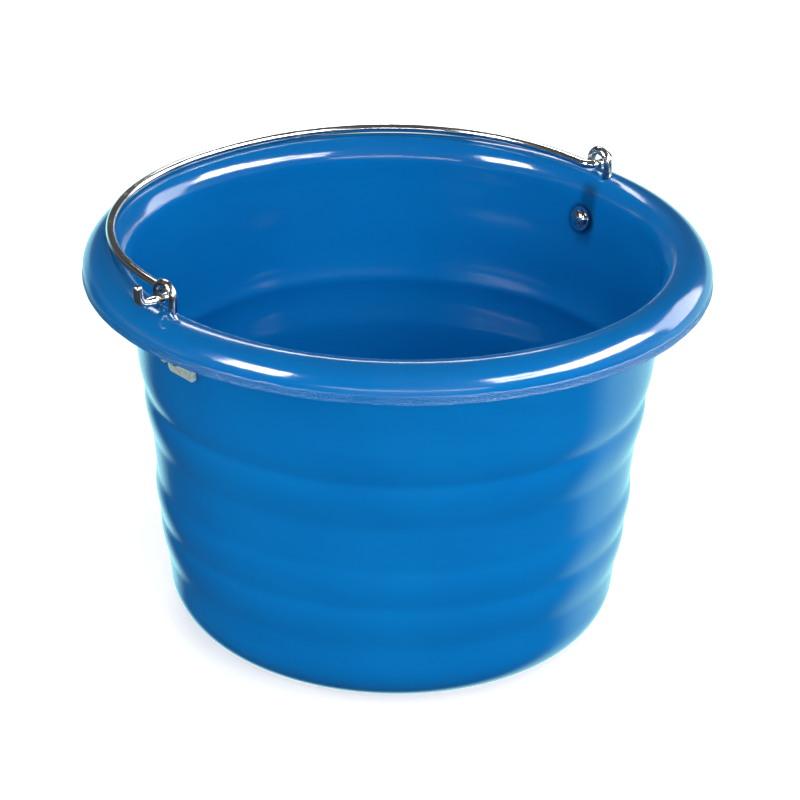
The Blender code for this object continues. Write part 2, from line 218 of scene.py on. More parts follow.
# Plastic: its own blues, and the colours of the marks on it
PLASTIC_DEEP = (0.0008, 0.130, 0.408, 1.0)
PLASTIC_PALE = (0.0012, 0.154, 0.456, 1.0)
PLASTIC_FLOW = (0.0012, 0.162, 0.474, 1.0)
SCUFF_COLOR = (0.06, 0.26, 0.58, 1.0)
BAND_PALE = (0.05, 0.34, 0.70, 1.0)
BAND_DEEP = (0.0008, 0.075, 0.235, 1.0)
# Dark blue for the streak from each bolt up to its eye, part metal rub-off and part painted shade, and for
# the painted contact shadow round each bolt
STAIN_AND_SHADE_COLOR = (0.0008, 0.022, 0.070, 1.0)
FOOT_DUST = (0.07, 0.19, 0.36, 1.0)
PLASTIC_GLOSS = (0.10, 0.16)
PLASTIC_SPECULAR = 0.42

# Where those marks lie. Each pair is where a mark starts to show and where it is full
BAND_RADII = (RIM_RADIUS - 7.0 * MM, RIM_RADIUS - 5.0 * MM)
BAND_HEIGHTS = (BAND_TOP - 0.8 * MM, BAND_TOP - 2.4 * MM)
BAND_UNEVENNESS = 2.0 * MM
BAND_STREAK_STRETCH = 3.2
# The streak from each bolt up to its eye: part metal rub-off, part painted shade
STREAK_MIDDLE_Y = 0.6 * BOLT_Y
STREAK_HALF_WIDTHS = (11.0 * MM, 2.5 * MM)
BOLT_MARK_RADII = (165.0 * MM, 170.0 * MM)
STREAK_FOOT = (CREST_Z - 56.0 * MM, CREST_Z - 40.0 * MM)
STREAK_TOP = (CREST_Z - 3.0 * MM, CREST_Z - 12.0 * MM)
BOLT_MARK_PAST_WALL = (6.0 * MM, 0.5 * MM)
# The painted contact shadow round each bolt's washer
BOLT_SHADOW_RADII = (15.0 * MM, 8.5 * MM)
BOLT_SHADOW_STRENGTH = 0.95
DUST_HEIGHTS = (9.0 * MM, 0.5 * MM)
MOULD_RING_HEIGHTS = (CREST_Z - RIM_DROP - 6.0 * MM, CREST_Z - RIM_DROP)

# The mould rings' frequencies: per radian round the rim, and per metre of radius and of height
MOULD_RING_FREQUENCIES = (5.0, 420.0, 420.0)

# Metal: the dull patches on zinc, and the wire's colours
ZINC_DULL = (0.22, 0.24, 0.24, 1.0)
WIRE_DARK = (0.60, 0.60, 0.59, 1.0)
WIRE_PALE = (0.78, 0.78, 0.76, 1.0)
WIRE_RUBBED = (0.42, 0.41, 0.39, 1.0)

# Zinc finishes: darker and paler spangle, least and greatest roughness, lumpiness and metalness
# Plate, lock washer and nut zinc: tinted blue-green as a painted reflection of the blue plastic, and made
# pale as painted light against the rim's shadow
PAINTED_REFLECTION_ZINC = ((0.46, 0.58, 0.54, 1.0), (0.66, 0.78, 0.73, 1.0), 0.32, 0.46, 0.25, 0.40)
ROD_ZINC = ((0.34, 0.33, 0.33, 1.0), (0.60, 0.59, 0.58, 1.0), 0.13, 0.24, 0.30, 1.0)
BOLT_ZINC = ((0.42, 0.43, 0.44, 1.0), (0.60, 0.61, 0.62, 1.0), 0.09, 0.16, 0.12, 1.0)

PIVOT = Vector(frame["record"]["behaviour"]["joints"][0]["pos_m"])
WALL_LEAN = math.atan2(GROOVES[0][1] - GROOVES[1][1], GROOVES[1][0] - GROOVES[0][0])

# Camera, at the photographed angle
CAMERA_AZIMUTH = math.radians(40.5)
CAMERA_ELEVATION = math.radians(25.52)
CAMERA_ROLL = math.radians(-1.243)
CAMERA_DISTANCE = 2.6
CAMERA_LENS = 168.5
CAMERA_REACH = 50.0
TARGET_RIGHT = 3.46 * MM
TARGET_BELOW_CREST = 121.0 * MM

# Floor: it glows a little, so that it stays white under the lamps' soft shadows
FLOOR_SHADES = ((0.90, 0.90, 0.90, 1.0), (0.92, 0.92, 0.92, 1.0))
FLOOR_GLOW = 0.55
FLOOR_ROUGHNESS = 0.8
FLOOR_HALF_SIZE = 14.0
FLOOR_DROP = 0.2 * MM

# Studio: each lamp's name, its place to the camera's right, up and towards it, its size, its power,
# and what it gives: "shine" shows only in reflections, and "fill" only lights surfaces evenly
LAMPS = (
    ("left_streak_high", (-1.58, 1.78, 1.22), (0.90, 0.30), 40.0, "shine"),
    ("left_streak_low", (-1.66, 1.36, 1.30), (0.90, 0.34), 42.0, "shine"),
    ("right_streak_high", (1.46, 1.78, 1.36), (0.90, 0.24), 20.0, "shine"),
    ("right_streak_low", (1.54, 1.38, 1.42), (0.90, 0.32), 26.0, "shine"),
    ("far_right_streak_high", (2.00, 1.76, 0.26), (1.70, 0.30), 84.0, "shine"),
    ("far_right_streak_low", (2.06, 1.34, 0.28), (1.70, 0.34), 92.0, "shine"),
    ("low_front_streak", (0.1, 0.80, 2.4), (2.6, 0.10), 12.0, "shine"),
    ("rear_streak", (-0.3, 1.7, -1.6), (1.3, 0.28), 15.0, "shine"),
    ("right_edge", (2.1, 1.0, -1.3), (1.3, 1.3), 38.0, "shine"),
    ("front_key_low", (0.75, 1.07, 2.1), (1.6, 0.6), 23.0, "fill"),
    ("front_key_high", (0.5, 2.0, 1.5), (1.4, 1.2), 11.0, "fill"),
    ("front_fill", (0.1, 0.22, 2.4), (2.0, 0.4), 37.0, "fill"),
    ("left_fill", (-2.2, 0.32, 0.0), (1.4, 0.5), 27.0, "fill"),
    ("right_fill", (2.2, 0.32, -0.1), (1.4, 0.5), 24.0, "fill"),
    ("rear_fill", (-0.3, 1.9, -1.5), (1.6, 1.0), 14.0, "fill"),
    ("overhead", (0.0, 2.6, 0.0), (1.6, 1.6), 5.0, "fill"),
    ("over_mouth", (0.0, 0.35, 0.04), (0.2, 0.2), 0.30, "fill"),
)

# Surroundings: below the horizon dark in front and bright behind, and above it greys by height
WORLD_DARK = (0.04, 0.05, 0.06)
WORLD_BACK = (0.70, 1.42, 1.45)
WORLD_BACK_TURN = math.radians(22.0)
WORLD_BACK_EDGE = (0.38, 0.66)
WORLD_SKY = ((0.0, 0.24), (0.18, 0.08), (0.42, 0.06), (0.60, 0.07), (1.0, 0.09))
WORLD_HORIZON = 0.06
WORLD_STRENGTH = 1.0
LAMP_AIM = 0.6


# ---------------------------------------------------------------- shapes

def resample(points, spacing):
    """The same open polyline with evenly spaced points."""
    line = np.array([tuple(point) for point in points])
    lengths = np.concatenate(([0.0], np.cumsum(np.linalg.norm(np.diff(line, axis=0), axis=1))))
    count = max(2, int(round(lengths[-1] / spacing)) + 1)
    wanted = np.linspace(0.0, lengths[-1], count)
    return np.stack([np.interp(wanted, lengths, line[:, k]) for k in range(line.shape[1])], axis=1)


def soften(line, passes):
    """Round the corners of a polyline a little, keeping its two ends."""
    line = line.copy()
    for _ in range(passes):
        line[1:-1] = line[1:-1] * 0.5 + (line[:-2] + line[2:]) * 0.25
    return line


def arc(center, half_width, half_height, start, end, count):
    """Points along part of an ellipse, with the angles in degrees."""
    points = []
    for step in range(count + 1):
        angle = math.radians(start + (end - start) * step / count)
        across = half_width * math.cos(angle)
        points.append((center[0] + across, center[1] + half_height * math.sin(angle)))
    return points


def swelling(share, peak):
    """A smooth bump from 0 to 1 and back to 0 along a stretch, highest at the peak."""
    power = math.log(0.5) / math.log(peak)
    return math.sin(math.pi * share ** power)


def wall_points():
    """Points down the outer wall from under the rim to the base corner, as (radius, height)."""
    points = [(GROOVES[0][1], CREST_Z - GROOVES[0][0])]
    for above, below, (height, peak) in zip(GROOVES, GROOVES[1:], SWELLINGS):
        for step in range(1, SWELLING_STEPS + 1):
            share = step / SWELLING_STEPS
            depth = above[0] + (below[0] - above[0]) * share
            radius = above[1] + (below[1] - above[1]) * share
            points.append((radius + height * swelling(share, peak), CREST_Z - depth))
    return points


def wall_radius(depth):
    """The outer wall's radius at a depth on its topmost straight."""
    (top_depth, top_radius), (low_depth, low_radius) = GROOVES[:2]
    share = (depth - top_depth) / (low_depth - top_depth)
    return top_radius + (low_radius - top_radius) * share


def crest_crease(point):
    """Sink the crest slightly on both sides of a low bead that runs along the rim's inner edge."""
    radius, height = point
    off_bead = (radius - CREASE_RADIUS) / CREASE_WIDTH
    return radius, height - CREASE_DEPTH * (off_bead ** 2) * math.exp(1.0 - off_bead ** 2)


def shell_outline():
    """The bucket's half-section, from the underside's middle round the rim to the floor's middle."""
    outer = wall_points()
    inner = [(radius - SHELL_THICKNESS, height) for radius, height in outer]
    rim = (CREST_RADIUS, CREST_Z - RIM_DROP)
    rim_width = RIM_RADIUS - CREST_RADIUS
    lip_width = CREST_RADIUS - inner[0][0] - LIP_STANDOFF
    under_width = CREST_RADIUS - outer[0][0] - LIP_STANDOFF
    under_height = RIM_DROP - SHELL_THICKNESS
    corner_thin = BASE_CORNER_WIDTH - SHELL_THICKNESS

    below = arc((outer[-1][0] - BASE_CORNER_WIDTH, BASE_CORNER_HEIGHT),
                BASE_CORNER_WIDTH, BASE_CORNER_HEIGHT, -90.0, 0.0, BASE_CORNER_STEPS)
    below += outer[::-1]
    below += arc(rim, under_width, under_height, LIP_UNDER_START, LIP_UNDER_END, LIP_UNDER_STEPS)
    below += arc(rim, rim_width - SHELL_THICKNESS, under_height, 90.0, 0.0, RIM_UNDER_STEPS)
    above = arc(rim, rim_width, RIM_DROP, 0.0, 90.0, RIM_TOP_STEPS)
    above += arc(rim, lip_width, RIM_DROP, 90.0, LIP_END, LIP_TOP_STEPS)[1:]
    above = [crest_crease(point) for point in above]
    above += inner
    above += arc((inner[-1][0] - corner_thin, BASE_CORNER_HEIGHT),
                 corner_thin, BASE_CORNER_HEIGHT - SHELL_THICKNESS, 0.0, -90.0, BASE_CORNER_STEPS)

    outline = [(0.0, BASE_RECESS_DEPTH), (BASE_RECESS_RADIUS, BASE_RECESS_DEPTH)]
    outline.append((BASE_RECESS_RADIUS + BASE_RECESS_DEPTH, 0.0))
    outline += [tuple(p) for p in soften(resample(below, WALL_SPACING), SOFTENING_PASSES)]
    inside = RIM_RADIUS - SHELL_THICKNESS
    outline += [(inside, SKIRT_Z + SKIRT_EDGE), (inside + SKIRT_EDGE, SKIRT_Z)]
    outline += [(RIM_RADIUS - 0.5 * SKIRT_EDGE, SKIRT_Z), (RIM_RADIUS, SKIRT_Z + 0.5 * SKIRT_EDGE)]
    outline += [(RIM_RADIUS, SKIRT_Z + BEAD_HEIGHT), (RIM_RADIUS - BAND_STEP, SKIRT_Z + BEAD_SHOULDER)]
    outline += [(RIM_RADIUS - BAND_STEP, SKIRT_Z + BAND_HEIGHT * share) for share in BAND_LEVELS]
    rim_line = soften(resample(above, WALL_SPACING), SOFTENING_PASSES)
    outline += [tuple(p) for p in rim_line if p[1] > BAND_TOP or p[0] < CREST_RADIUS]
    outline.append((BASE_RECESS_RADIUS, BASE_RECESS_DEPTH + SHELL_THICKNESS))
    outline.append((0.0, BASE_RECESS_DEPTH + SHELL_THICKNESS))
    return outline


def revolve(outline, steps, is_closed=False):
    """Turn an outline of (radius, height) points round Z; an open outline ends on the axis."""
    made = bmesh.new()
    rings = []
    for radius, height in outline:
        if radius < ON_AXIS:
            rings.append([made.verts.new((0.0, 0.0, height))])
            continue
        rings.append([made.verts.new((radius * math.cos(math.tau * step / steps),
                                      radius * math.sin(math.tau * step / steps), height))
                      for step in range(steps)])
    pairs = list(zip(rings, rings[1:]))
    if is_closed:
        pairs.append((rings[-1], rings[0]))
    for upper, lower in pairs:
        for step in range(steps):
            after = (step + 1) % steps
            corners = [upper[step % len(upper)], upper[after % len(upper)]]
            corners += [lower[after % len(lower)], lower[step % len(lower)]]
            made.faces.new(list(dict.fromkeys(corners)))
    return made


def piece(name, mesh_data, surface, body, node, frame_matrix=None, sharp=SHARP_ANGLE):
    """Make a finished piece that rides on a body and stands for a CAD node, where it has one."""
    bmesh.ops.recalc_face_normals(mesh_data, faces=mesh_data.faces)
    if frame_matrix is not None:
        mesh_data.transform(frame_matrix)
    mesh = bpy.data.meshes.new(name)
    mesh_data.to_mesh(mesh)
    mesh_data.free()
    mesh.shade_smooth()
    mesh.set_sharp_from_angle(angle=math.radians(sharp))
    mesh.materials.append(surface)
    made = bpy.data.objects.new(name, mesh)
    bpy.context.collection.objects.link(made)
    if body:
        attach(made, body)
    if node:
        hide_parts(node)
    return made


def cut(target, tool_data, surface, tool_matrix):
    """Cut a closed body out of the target's mesh, and leave nothing else behind."""
    tool = piece("cutting_tool", tool_data, surface, None, None, tool_matrix)
    change = target.modifiers.new("cut", "BOOLEAN")
    change.operation = "DIFFERENCE"
    change.solver = "EXACT"
    change.object = tool
    bpy.context.view_layer.update()
    evaluated = target.evaluated_get(bpy.context.evaluated_depsgraph_get())
    shape = bpy.data.meshes.new_from_object(evaluated)
    target.modifiers.remove(change)
    target.data = shape
    bpy.data.objects.remove(tool, do_unlink=True)
    shape.shade_smooth()
    shape.set_sharp_from_angle(angle=math.radians(SHARP_ANGLE))


def hole_tool(radius):
    """A closed cylinder that cuts a round hole right through."""
    outline = [(0.0, -HOLE_REACH), (radius, -HOLE_REACH), (radius, HOLE_REACH), (0.0, HOLE_REACH)]
    return revolve(outline, HOLE_STEPS)


def tube(points, radius, sides, end_round, radius_at=None):
    """A round rod along a path, with its two ends narrowed by a share and a UV map: U around and V
    along, in metres. radius_at gives the radius at a distance along the path, where it varies."""
    path = [Vector(point) for point in points]
    tangents = []
    for index in range(len(path)):
        before = path[max(0, index - 1)]
        after = path[min(len(path) - 1, index + 1)]
        tangents.append((after - before).normalized())
    normal = tangents[0].orthogonal().normalized()
    made = bmesh.new()
    uv = made.loops.layers.uv.new("along")
    rings = []
    travelled = [0.0]
    for index, (place, tangent) in enumerate(zip(path, tangents)):
        if index:
            normal = (normal - tangent * normal.dot(tangent)).normalized()
            travelled.append(travelled[-1] + (place - path[index - 1]).length)
        side = tangent.cross(normal)
        here = radius if radius_at is None else radius_at(travelled[-1])
        if index in (0, len(path) - 1):
            here *= 1.0 - end_round
        rings.append([made.verts.new(place + (normal * math.cos(math.tau * k / sides)
                                              + side * math.sin(math.tau * k / sides)) * here)
                      for k in range(sides)])
    for index, (first, second) in enumerate(zip(rings, rings[1:])):
        for k in range(sides):
            after = (k + 1) % sides
            face = made.faces.new((first[k], first[after], second[after], second[k]))
            across = (k, k + 1, k + 1, k)
            along = (index, index, index + 1, index + 1)
            for loop, u, v in zip(face.loops, across, along):
                loop[uv].uv = (u / sides * math.tau * radius, travelled[v])
    made.faces.new(rings[0][::-1])
    made.faces.new(rings[-1])
    return made


def bolt_frame(side):
    """The bolt line's frame: local Z points out through the wall, local X up along it."""
    outward = Vector((side * math.cos(WALL_LEAN), 0.0, -math.sin(WALL_LEAN)))
    upward = Vector((side * math.sin(WALL_LEAN), 0.0, math.cos(WALL_LEAN)))
    across = outward.cross(upward)
    made = Matrix((upward, across, outward)).transposed().to_4x4()
    made.translation = Vector((side * wall_radius(BOLT_DEPTH), BOLT_Y, CREST_Z - BOLT_DEPTH))
    return made


def washer_setback():
    """How far the flat washer stands off the curved inner wall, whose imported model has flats."""
    inner = wall_radius(BOLT_DEPTH) - SHELL_THICKNESS
    reach = BOLT_Y + WASHER_RADIUS
    facet = inner * (1.0 - math.cos(math.pi / CAD_SHELL_STEPS))
    return inner - math.sqrt(inner ** 2 - reach ** 2) + facet + GAP


# ---------------------------------------------------------------- materials

class Surface:
    """A Principled material being wired up, with short calls for the nodes that it needs."""

    def __init__(self, name):
        self.material = bpy.data.materials.new(name)
        self.material.use_nodes = True
        self.tree = self.material.node_tree
        self.shader = self.tree.nodes["Principled BSDF"]
        self.place = self.tree.nodes.new("ShaderNodeTexCoord").outputs["Object"]

    def feed(self, socket, value):
        """Link an output to a socket, or set a plain number on it."""
        if isinstance(value, bpy.types.NodeSocket):
            self.tree.links.new(value, socket)
        else:
            socket.default_value = value

    def noise(self, scale, detail=4.0, vector=None, roughness=0.55):
        """Noise from 0 to 1, with its scale as a frequency per metre."""
        node = self.tree.nodes.new("ShaderNodeTexNoise")
        node.inputs["Scale"].default_value = scale
        node.inputs["Detail"].default_value = detail
        node.inputs["Roughness"].default_value = roughness
        self.feed(node.inputs["Vector"], vector or self.place)
        return node.outputs["Fac"]

    def cells(self, scale):
        """Distance to the nearest of a field of scattered points, with as many per metre as the scale."""
        node = self.tree.nodes.new("ShaderNodeTexVoronoi")
        node.inputs["Scale"].default_value = scale
        self.feed(node.inputs["Vector"], self.place)
        return node.outputs["Distance"]

    def stretch(self, scales, vector=None):
        """Coordinates scaled differently along each axis."""
        node = self.tree.nodes.new("ShaderNodeMapping")
        node.inputs["Scale"].default_value = scales
        self.feed(node.inputs["Vector"], vector or self.place)
        return node.outputs["Vector"]

    def join(self, x, y, z=0.0):
        """Coordinates made of three values."""
        node = self.tree.nodes.new("ShaderNodeCombineXYZ")
        for socket, value in zip(node.inputs, (x, y, z)):
            self.feed(socket, value)
        return node.outputs[0]

    def math(self, operation, first, second=0.0):
        """One arithmetic step."""
        node = self.tree.nodes.new("ShaderNodeMath")
        node.operation = operation
        self.feed(node.inputs[0], first)
        self.feed(node.inputs[1], second)
        return node.outputs[0]

    def span(self, value, low, high, to_low=0.0, to_high=1.0):
        """A smooth change from one value to another while the input goes from low to high."""
        node = self.tree.nodes.new("ShaderNodeMapRange")
        node.interpolation_type = "SMOOTHSTEP"
        self.feed(node.inputs["Value"], value)
        for name, number in (("From Min", low), ("From Max", high),
                             ("To Min", to_low), ("To Max", to_high)):
            node.inputs[name].default_value = number
        return node.outputs["Result"]

    def times(self, *values):
        """The product of several values."""
        product = values[0]
        for value in values[1:]:
            product = self.math("MULTIPLY", product, value)
        return product

    def length(self, across, along):
        """The length of a line with these two sides."""
        squares = self.math("ADD", self.times(across, across), self.times(along, along))
        return self.math("SQRT", squares)

    def mark(self, value, shows, full, strength=1.0):
        """How strongly a mark shows: nothing at one value, its full strength at the other."""
        if shows < full:
            return self.span(value, shows, full, 0.0, strength)
        return self.span(value, full, shows, strength, 0.0)

    def mix(self, share, first, second):
        """A colour between two colours."""
        node = self.tree.nodes.new("ShaderNodeMix")
        node.data_type = "RGBA"
        self.feed(node.inputs[0], share)
        self.feed(node.inputs[6], first)
        self.feed(node.inputs[7], second)
        return node.outputs[2]

    def bump(self, height, distance, strength, under=None):
        """A surface normal from a height."""
        node = self.tree.nodes.new("ShaderNodeBump")
        node.inputs["Strength"].default_value = strength
        node.inputs["Distance"].default_value = distance
        self.feed(node.inputs["Height"], height)
        if under is not None:
            self.feed(node.inputs["Normal"], under)
        return node.outputs["Normal"]

    def finish(self, color, roughness, normal, metallic):
        """Connect the results to the shader."""
        self.feed(self.shader.inputs["Base Color"], color)
        self.feed(self.shader.inputs["Roughness"], roughness)
        self.feed(self.shader.inputs["Normal"], normal)
        self.shader.inputs["Metallic"].default_value = metallic
        return self.material


def trimmed_band(s, radius, z):
    """1 on the rough trimmed band under the rim, with an uneven upper edge, and 0 elsewhere."""
    edge = s.math("ADD", z, s.times(s.noise(60.0, 3.0), -BAND_UNEVENNESS))
    return s.times(s.mark(radius, *BAND_RADII), s.mark(edge, *BAND_HEIGHTS))


def stain_and_painted_shade(s, radius, y, z):
    """Dark marks on the inside of the wall: a streak round each bolt and up to its eye, part rub-off from
    the metal and part painted shade, and a painted contact shadow round each bolt.
    """
    wall = wall_radius(BOLT_DEPTH)
    within = s.mark(radius, *(wall + past for past in BOLT_MARK_PAST_WALL))
    inside = s.times(within, s.mark(radius, *BOLT_MARK_RADII))
    off_line = s.math("ABSOLUTE", s.math("SUBTRACT", y, STREAK_MIDDLE_Y))
    beside = s.mark(off_line, *STREAK_HALF_WIDTHS)
    height = s.times(s.mark(z, *STREAK_FOOT), s.mark(z, *STREAK_TOP))
    blotches = s.span(s.noise(55.0, 3.0), 0.2, 0.75, 0.50, 0.80)
    streak_stain_and_shade = s.times(beside, inside, height, blotches)
    from_bolt = s.length(s.math("SUBTRACT", y, BOLT_Y), s.math("SUBTRACT", z, CREST_Z - BOLT_DEPTH))
    # Painted contact shadow round each bolt's washer
    painted_shadow = s.times(inside, s.mark(from_bolt, *BOLT_SHADOW_RADII, BOLT_SHADOW_STRENGTH))
    return s.math("MAXIMUM", streak_stain_and_shade, painted_shadow)


def mould_rings(s, radius, angle, z):
    """Faint rings round the rim, left by the mould, which break up its highlights."""
    turned = s.join(*map(s.times, (angle, radius, z), MOULD_RING_FREQUENCIES))
    return s.times(s.noise(1.0, 3.0, turned, 0.6), s.mark(z, *MOULD_RING_HEIGHTS))


def make_plastic():
    """Glossy moulded polyethylene, with a rough trimmed band under the rim, scuffs, stains, and painted
    shade by the bolts.
    """
    s = Surface("blue_plastic_finish")
    parts = s.tree.nodes.new("ShaderNodeSeparateXYZ")
    s.feed(parts.inputs[0], s.place)
    x, y, z = parts.outputs
    radius = s.length(x, y)
    angle = s.math("ARCTAN2", y, x)
    band = trimmed_band(s, radius, z)

    cloud = s.span(s.noise(7.0, 3.0), 0.3, 0.7)
    color = s.mix(cloud, PLASTIC_DEEP, PLASTIC_PALE)
    flow = s.span(s.noise(1.0, 3.0, s.stretch((9.0, 9.0, 45.0))), 0.35, 0.75, 0.0, 0.35)
    color = s.mix(flow, color, PLASTIC_FLOW)

    scratch_field = s.noise(1.0, 5.0, s.stretch((70.0, 70.0, 900.0)), 0.7)
    patches = s.span(s.noise(16.0, 3.0), 0.5, 0.68)
    scuffs = s.times(s.span(scratch_field, 0.66, 0.74), patches)
    color = s.mix(s.times(scuffs, 0.16), color, SCUFF_COLOR)

    around = s.join(s.times(angle, RIM_RADIUS), s.times(z, BAND_STREAK_STRETCH))
    streaks = s.noise(330.0, 4.0, around, 0.75)
    pale = s.times(band, s.span(streaks, 0.56, 0.70, 0.0, 0.40))
    color = s.mix(pale, color, BAND_PALE)
    deep = s.times(band, s.span(streaks, 0.34, 0.48, 0.55, 0.0))
    color = s.mix(deep, color, BAND_DEEP)
    # Metal rub-off and painted shade by the bolts
    color = s.mix(stain_and_painted_shade(s, radius, y, z), color, STAIN_AND_SHADE_COLOR)

    # Dulled, dusty plastic where the foot ring rubs on the ground
    foot = s.times(s.mark(z, *DUST_HEIGHTS), s.span(s.noise(38.0, 5.0), 0.35, 0.7))
    color = s.mix(s.times(foot, 0.35), color, FOOT_DUST)

    gloss = s.span(s.noise(11.0, 4.0), 0.25, 0.75, *PLASTIC_GLOSS)
    for mark, dulling in ((scuffs, 0.14), (band, 0.12), (foot, 0.3)):
        gloss = s.math("ADD", gloss, s.times(mark, dulling))

    moulded = s.bump(mould_rings(s, radius, angle, z), 0.10 * MM, 0.55)
    grain = s.bump(s.noise(85.0, 3.0), 0.12 * MM, 0.35, moulded)
    fine = s.bump(s.noise(900.0, 2.0), 0.03 * MM, 0.3, grain)
    worn = s.bump(s.times(scuffs, -1.0), 0.05 * MM, 0.5, fine)
    stipple = s.bump(s.times(band, streaks), 1.1 * MM, 0.9, worn)
    s.shader.inputs["Specular IOR Level"].default_value = PLASTIC_SPECULAR
    return s.finish(color, gloss, stipple, 0.0)


def make_zinc(name, dark, pale, smoothest, roughest, lumpiness, metallic):
    """Zinc-plated steel: faint spangle, dull patches, and small pits."""
    s = Surface(name)
    spangle = s.span(s.cells(260.0), 0.1, 0.7)
    color = s.mix(spangle, dark, pale)
    dull = s.span(s.noise(120.0, 5.0), 0.5, 0.72)
    color = s.mix(s.times(dull, 0.30), color, ZINC_DULL)
    gloss = s.span(s.noise(180.0, 4.0), 0.3, 0.7, smoothest, roughest)
    gloss = s.math("ADD", gloss, s.times(dull, 0.12))
    pits = s.bump(s.noise(700.0, 3.0), 0.06 * MM, lumpiness)
    lumps = s.bump(s.noise(150.0, 2.0), 0.15 * MM, lumpiness, pits)
    return s.finish(color, gloss, lumps, metallic)


def make_wire():
    """Bright drawn wire: fine lines along its length and a few duller rubs."""
    s = Surface("bright_wire_finish")
    along = s.tree.nodes.new("ShaderNodeUVMap")
    along.uv_map = "along"
    drawn_place = s.stretch((5200.0, 22.0, 1.0), along.outputs["UV"])
    drawn = s.noise(1.0, 4.0, drawn_place)
    rubs = s.span(s.noise(45.0, 4.0), 0.54, 0.70)
    color = s.mix(s.span(drawn, 0.3, 0.7), WIRE_DARK, WIRE_PALE)
    color = s.mix(s.times(rubs, 0.35), color, WIRE_RUBBED)
    gloss = s.math("ADD", s.span(drawn, 0.2, 0.8, 0.09, 0.17), s.times(rubs, 0.14))
    lines = s.bump(drawn, 0.02 * MM, 0.4)
    return s.finish(color, gloss, lines, 1.0)


# ---------------------------------------------------------------- bucket

def make_shell(plastic):
    """The moulded bucket, with its rim's trimmed edge uneven and four holes for the ears."""
    made = revolve(shell_outline(), SHELL_STEPS)
    wave_frequency, wave_depth = TRIM_WAVES
    chip_frequency, chip_depth = TRIM_CHIPS
    for vertex in made.verts:
        place = vertex.co
        on_skirt = place.xy.length > RIM_RADIUS - SHELL_THICKNESS - SKIRT_EDGE
        if on_skirt and place.z < SKIRT_Z + TRIM_REACH:
            place.z += abs(noise.noise(place * wave_frequency)) * wave_depth
            inwards = abs(noise.noise(place * chip_frequency)) * chip_depth
            place.xy = place.xy * (1.0 - inwards / place.xy.length)
    shell = piece("bucket_body", made, plastic, "bucket", "bucket_shell")
    for side in (-1, 1):
        rod_frame = Matrix.Translation((side * EYE_PLANE_X, ROD_Y, CREST_Z))
        cut(shell, hole_tool(ROD_HOLE_RADIUS), plastic, rod_frame)
        cut(shell, hole_tool(HOLE_RADIUS), plastic, bolt_frame(side))


# ---------------------------------------------------------------- ears

def make_plate(name, side, zinc):
    """The flat ear plate, with rounded corners and softened edges."""
    length = PLATE_ABOVE_BOLT + PLATE_BELOW_BOLT
    middle = (PLATE_ABOVE_BOLT - PLATE_BELOW_BOLT) / 2.0
    made = bmesh.new()
    bmesh.ops.create_cube(made, size=1.0)
    bmesh.ops.scale(made, vec=(length, PLATE_WIDTH, PLATE_THICKNESS), verts=made.verts)
    bmesh.ops.translate(made, vec=(middle, 0.0, PLATE_GAP + PLATE_THICKNESS / 2.0), verts=made.verts)
    upright = [edge for edge in made.edges
               if abs(edge.verts[0].co.z - edge.verts[1].co.z) > PLATE_THICKNESS / 2.0]
    bmesh.ops.bevel(made, geom=upright, offset=PLATE_CORNER, segments=PLATE_CORNER_STEPS,
                    profile=0.5, affect="EDGES")
    around = [edge for edge in made.edges
              if abs(edge.verts[0].co.z - edge.verts[1].co.z) < PLATE_THICKNESS / 10.0]
    bmesh.ops.bevel(made, geom=around, offset=PLATE_EDGE, segments=PLATE_EDGE_STEPS,
                    profile=0.5, affect="EDGES")
    hole_frame = bolt_frame(side)
    plate_frame = hole_frame.copy()
    plate_frame.translation.y = PLATE_Y
    plate = piece(name + "_plate", made, zinc, "bucket", name + "_ear_plate", plate_frame)
    cut(plate, hole_tool(HOLE_RADIUS), zinc, hole_frame)


def rod_lift():
    """How far the rod's centre line stands out from the wall over the plate."""
    return PLATE_GAP + PLATE_THICKNESS + GAP + ROD_RADIUS


def rod_line(side):
    """The ear rod's lower straight: its foot and its shoulder at the plate's top."""
    made = bolt_frame(side)
    foot = made @ Vector((ROD_FOOT_ABOVE_PLATE_END - PLATE_BELOW_BOLT, 0.0, rod_lift()))
    shoulder = made @ Vector((PLATE_ABOVE_BOLT, 0.0, rod_lift()))
    return Vector((foot.x, ROD_Y, foot.z)), Vector((shoulder.x, ROD_Y, shoulder.z))


def make_eye(name, side, zinc):
    """The rod: up the plate, through the rim and round into the eye."""
    points = list(rod_line(side))
    for step in range(EYE_STEPS + 1):
        angle = math.pi - EYE_TURN * step / EYE_STEPS
        points.append(Vector((
            side * EYE_PLANE_X,
            PIVOT.y + EYE_RADIUS * math.cos(angle),
            CREST_Z + EYE_ABOVE_CREST + EYE_RADIUS * math.sin(angle),
        )))
    line = soften(resample(points, ROD_SPACING), ROD_SOFTENING_PASSES)
    rod = tube(line, ROD_RADIUS, WIRE_SIDES, ROD_END_ROUND)
    piece(name + "_eye", rod, zinc, "bucket", name + "_ear_eye")


def make_welds(name, side, zinc):
    """A rippled weld bead down each side of the rod, where it lies on the plate."""
    foot, shoulder = rod_line(side)
    outward = bolt_frame(side).col[2].to_3d()
    sink = outward * (ROD_RADIUS - WELD_LIFT)

    def ripple(travelled):
        return WELD_RADIUS + WELD_RIPPLE * math.sin(math.tau * travelled / WELD_PITCH)

    for label, direction in (("front", -1), ("back", 1)):
        beside = Vector((0.0, direction * (ROD_RADIUS - WELD_OVERLAP), 0.0))
        ends = [foot.lerp(shoulder, share) + beside - sink for share in WELD_SPAN]
        bead = tube(resample(ends, WELD_SPACING), WELD_RADIUS, WELD_SIDES, WELD_END_ROUND, ripple)
        piece(name + "_weld_" + label, bead, zinc, "bucket", None, sharp=WELD_SHARP_ANGLE)


